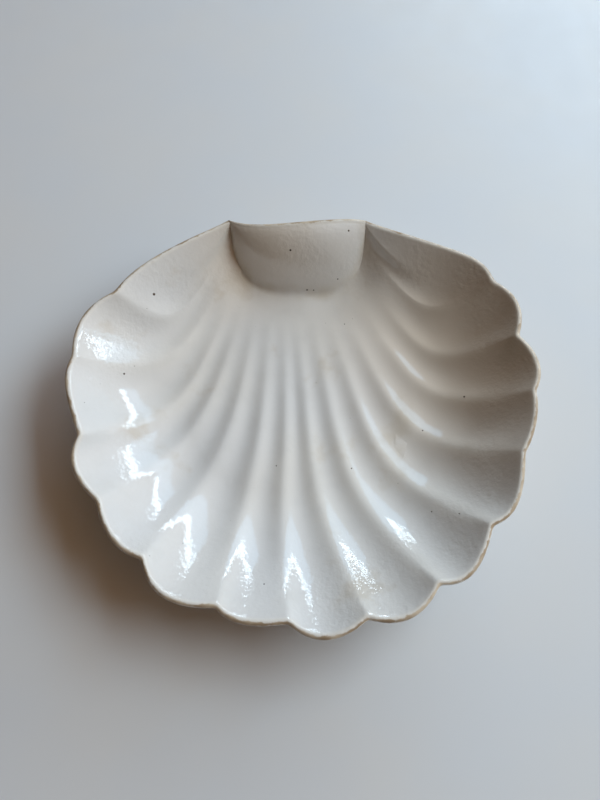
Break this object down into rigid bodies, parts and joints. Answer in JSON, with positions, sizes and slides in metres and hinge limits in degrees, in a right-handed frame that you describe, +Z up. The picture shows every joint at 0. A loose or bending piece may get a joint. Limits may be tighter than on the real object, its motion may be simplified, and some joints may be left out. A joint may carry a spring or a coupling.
{
  "type": "shell shaped platter",
  "caption": "Scallop shell shaped serving dish in glazed earthenware, with curved flutes fanning out from a raised hinge boss to a lobed rim, on a low foot ring.",
  "frame": {"origin": "middle of the platter's box, on the surface that its foot ring stands on", "axes": "+Z up, +Y from the middle towards the hinge boss, +X to the right across the flutes"},
  "size_m": [0.2464, 0.2324, 0.0472],
  "materials": {
    "glaze": "glossy cream white glaze with a few pinholes and a worn brownish lip"
  },
  "bodies": {
    "root": {"shell_platter": "glaze"}
  },
  "joints": []
}
